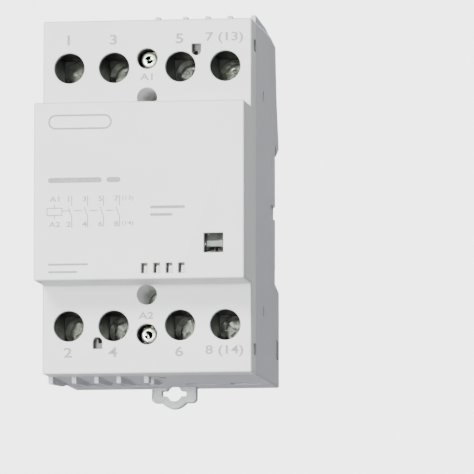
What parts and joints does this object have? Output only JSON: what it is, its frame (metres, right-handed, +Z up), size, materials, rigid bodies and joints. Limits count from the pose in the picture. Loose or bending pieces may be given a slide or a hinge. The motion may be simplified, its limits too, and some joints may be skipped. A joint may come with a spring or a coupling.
{
  "type": "din rail contactor",
  "caption": "Modular contactor for a 35 mm rail: stepped grey housing, screw terminals above and below, coil and bridges inside, spring rail clip.",
  "frame": {"origin": "centre of the flat seat that rests on the face of the mounting rail, midway across the width; Z is 0 about 0.2 mm above the middle of a 35 mm rail", "axes": "+X to the right seen from the front, +Y from the front face back into the rail, +Z up towards the fixed hook and the odd-numbered terminals"},
  "size_m": [0.0536, 0.0647, 0.0974],
  "materials": {
    "cover_plastic": "fine-grained moulded light grey",
    "base_plastic": "fine-grained moulded grey",
    "clip_plastic": "moulded light grey",
    "dark_plastic": "glass-filled near-black",
    "bobbin_plastic": "moulded dark grey",
    "lens_clear": "clear, slightly milky",
    "flag_plastic": "moulded mid grey",
    "screw_zinc": "zinc-plated steel",
    "cage_zinc": "zinc-plated pressed steel",
    "spring_steel": "drawn wire",
    "core_steel": "laminated electrical steel",
    "copper": "bare copper alloy",
    "winding_copper": "enamelled copper wire",
    "brass_plate": "bare brass",
    "board_resin": "green circuit board",
    "pad_rubber": "soft black"
  },
  "bodies": {
    "housing": {"front_cover": "cover_plastic", "base_housing": "base_plastic", "terminal_block_upper": "dark_plastic", "terminal_block_lower": "dark_plastic", "contact_frame": "dark_plastic", "contact_strip_1": "copper", "contact_strip_2": "copper", "contact_strip_3": "copper", "contact_strip_4": "copper", "contact_strip_5": "copper", "contact_strip_6": "copper", "contact_strip_7": "copper", "contact_strip_8": "copper", "coil_plate_a1": "brass_plate", "coil_plate_a2": "brass_plate", "cover_screw_upper": "screw_zinc", "cover_screw_lower": "screw_zinc", "fixed_core": "core_steel", "core_pad": "pad_rubber", "coil_bobbin": "bobbin_plastic", "coil_winding": "winding_copper", "rectifier_board": "board_resin", "indicator_lens": "lens_clear", "clip_spring": "spring_steel"},
    "carrier": {"contact_carrier": "dark_plastic", "armature": "core_steel", "indicator_flag": "flag_plastic", "return_spring_left": "spring_steel", "return_spring_right": "spring_steel", "contact_spring_1": "spring_steel", "contact_spring_2": "spring_steel", "contact_spring_3": "spring_steel", "contact_spring_4": "spring_steel"},
    "bridge_1": {"contact_bridge_1": "copper"},
    "bridge_2": {"contact_bridge_2": "copper"},
    "bridge_3": {"contact_bridge_3": "copper"},
    "bridge_4": {"contact_bridge_4": "copper"},
    "screw_1": {"terminal_screw_1": "screw_zinc"},
    "cage_1": {"clamp_cage_1": "cage_zinc"},
    "screw_2": {"terminal_screw_2": "screw_zinc"},
    "cage_2": {"clamp_cage_2": "cage_zinc"},
    "screw_3": {"terminal_screw_3": "screw_zinc"},
    "cage_3": {"clamp_cage_3": "cage_zinc"},
    "screw_4": {"terminal_screw_4": "screw_zinc"},
    "cage_4": {"clamp_cage_4": "cage_zinc"},
    "screw_5": {"terminal_screw_5": "screw_zinc"},
    "cage_5": {"clamp_cage_5": "cage_zinc"},
    "screw_6": {"terminal_screw_6": "screw_zinc"},
    "cage_6": {"clamp_cage_6": "cage_zinc"},
    "screw_7": {"terminal_screw_7": "screw_zinc"},
    "cage_7": {"clamp_cage_7": "cage_zinc"},
    "screw_8": {"terminal_screw_8": "screw_zinc"},
    "cage_8": {"clamp_cage_8": "cage_zinc"},
    "screw_a1": {"coil_screw_a1": "screw_zinc"},
    "cage_a1": {"coil_cage_a1": "cage_zinc"},
    "screw_a2": {"coil_screw_a2": "screw_zinc"},
    "cage_a2": {"coil_cage_a2": "cage_zinc"},
    "clip": {"rail_clip": "clip_plastic"}
  },
  "joints": [
    {"name": "carrier_slide", "type": "slide", "parent": "housing", "child": "carrier", "axis": [0, 1, 0], "range_m": [0, 0.004], "stiffness_N_per_m": 700, "springref_m": -0.006, "deforming": ["contact_spring_1", "contact_spring_2", "contact_spring_3", "contact_spring_4", "return_spring_left", "return_spring_right"]},
    {"name": "bridge_1_slide", "type": "slide", "parent": "carrier", "child": "bridge_1", "axis": [0, -1, 0], "range_m": [0, 0.0012]},
    {"name": "bridge_2_slide", "type": "slide", "parent": "carrier", "child": "bridge_2", "axis": [0, -1, 0], "range_m": [0, 0.0012]},
    {"name": "bridge_3_slide", "type": "slide", "parent": "carrier", "child": "bridge_3", "axis": [0, -1, 0], "range_m": [0, 0.0012]},
    {"name": "bridge_4_slide", "type": "slide", "parent": "carrier", "child": "bridge_4", "axis": [0, -1, 0], "range_m": [0, 0.0012]},
    {"name": "screw_1_turn", "type": "hinge", "parent": "housing", "child": "screw_1", "pos_m": [-0.02, -0.0223, 0.0329], "axis": [0, 1, 0], "range_deg": [0, 2120]},
    {"name": "cage_1_slide", "type": "slide", "parent": "housing", "child": "cage_1", "axis": [0, -1, 0], "range_m": [0, 0.0047]},
    {"name": "screw_2_turn", "type": "hinge", "parent": "housing", "child": "screw_2", "pos_m": [-0.02, -0.0223, -0.0329], "axis": [0, 1, 0], "range_deg": [0, 2120]},
    {"name": "cage_2_slide", "type": "slide", "parent": "housing", "child": "cage_2", "axis": [0, -1, 0], "range_m": [0, 0.0047]},
    {"name": "screw_3_turn", "type": "hinge", "parent": "housing", "child": "screw_3", "pos_m": [-0.0085, -0.0223, 0.0329], "axis": [0, 1, 0], "range_deg": [0, 2120]},
    {"name": "cage_3_slide", "type": "slide", "parent": "housing", "child": "cage_3", "axis": [0, -1, 0], "range_m": [0, 0.0047]},
    {"name": "screw_4_turn", "type": "hinge", "parent": "housing", "child": "screw_4", "pos_m": [-0.0085, -0.0223, -0.0329], "axis": [0, 1, 0], "range_deg": [0, 2120]},
    {"name": "cage_4_slide", "type": "slide", "parent": "housing", "child": "cage_4", "axis": [0, -1, 0], "range_m": [0, 0.0047]},
    {"name": "screw_5_turn", "type": "hinge", "parent": "housing", "child": "screw_5", "pos_m": [0.0085, -0.0223, 0.0329], "axis": [0, 1, 0], "range_deg": [0, 2120]},
    {"name": "cage_5_slide", "type": "slide", "parent": "housing", "child": "cage_5", "axis": [0, -1, 0], "range_m": [0, 0.0047]},
    {"name": "screw_6_turn", "type": "hinge", "parent": "housing", "child": "screw_6", "pos_m": [0.0085, -0.0223, -0.0329], "axis": [0, 1, 0], "range_deg": [0, 2120]},
    {"name": "cage_6_slide", "type": "slide", "parent": "housing", "child": "cage_6", "axis": [0, -1, 0], "range_m": [0, 0.0047]},
    {"name": "screw_7_turn", "type": "hinge", "parent": "housing", "child": "screw_7", "pos_m": [0.02, -0.0223, 0.0329], "axis": [0, 1, 0], "range_deg": [0, 2120]},
    {"name": "cage_7_slide", "type": "slide", "parent": "housing", "child": "cage_7", "axis": [0, -1, 0], "range_m": [0, 0.0047]},
    {"name": "screw_8_turn", "type": "hinge", "parent": "housing", "child": "screw_8", "pos_m": [0.02, -0.0223, -0.0329], "axis": [0, 1, 0], "range_deg": [0, 2120]},
    {"name": "cage_8_slide", "type": "slide", "parent": "housing", "child": "cage_8", "axis": [0, -1, 0], "range_m": [0, 0.0047]},
    {"name": "screw_a1_turn", "type": "hinge", "parent": "housing", "child": "screw_a1", "pos_m": [0, -0.041, 0.0351], "axis": [0, 1, 0], "range_deg": [0, 2165]},
    {"name": "cage_a1_slide", "type": "slide", "parent": "housing", "child": "cage_a1", "axis": [0, -1, 0], "range_m": [0, 0.0036]},
    {"name": "screw_a2_turn", "type": "hinge", "parent": "housing", "child": "screw_a2", "pos_m": [0, -0.041, -0.0351], "axis": [0, 1, 0], "range_deg": [0, 2165]},
    {"name": "cage_a2_slide", "type": "slide", "parent": "housing", "child": "cage_a2", "axis": [0, -1, 0], "range_m": [0, 0.0036]},
    {"name": "clip_slide", "type": "slide", "parent": "housing", "child": "clip", "axis": [0, 0, -1], "range_m": [0, 0.005], "stiffness_N_per_m": 1500, "springref_m": -0.004, "deforming": ["clip_spring"]}
  ],
  "couplings": [
    {"joint": "bridge_1_slide", "follows": "carrier_slide", "ratio": 0.275},
    {"joint": "bridge_2_slide", "follows": "carrier_slide", "ratio": 0.275},
    {"joint": "bridge_3_slide", "follows": "carrier_slide", "ratio": 0.275},
    {"joint": "bridge_4_slide", "follows": "carrier_slide", "ratio": 0.275},
    {"joint": "screw_1_turn", "follows": "cage_1_slide", "rad_per_m": 7854},
    {"joint": "screw_2_turn", "follows": "cage_2_slide", "rad_per_m": 7854},
    {"joint": "screw_3_turn", "follows": "cage_3_slide", "rad_per_m": 7854},
    {"joint": "screw_4_turn", "follows": "cage_4_slide", "rad_per_m": 7854},
    {"joint": "screw_5_turn", "follows": "cage_5_slide", "rad_per_m": 7854},
    {"joint": "screw_6_turn", "follows": "cage_6_slide", "rad_per_m": 7854},
    {"joint": "screw_7_turn", "follows": "cage_7_slide", "rad_per_m": 7854},
    {"joint": "screw_8_turn", "follows": "cage_8_slide", "rad_per_m": 7854},
    {"joint": "screw_a1_turn", "follows": "cage_a1_slide", "rad_per_m": 10472},
    {"joint": "screw_a2_turn", "follows": "cage_a2_slide", "rad_per_m": 10472}
  ]
}
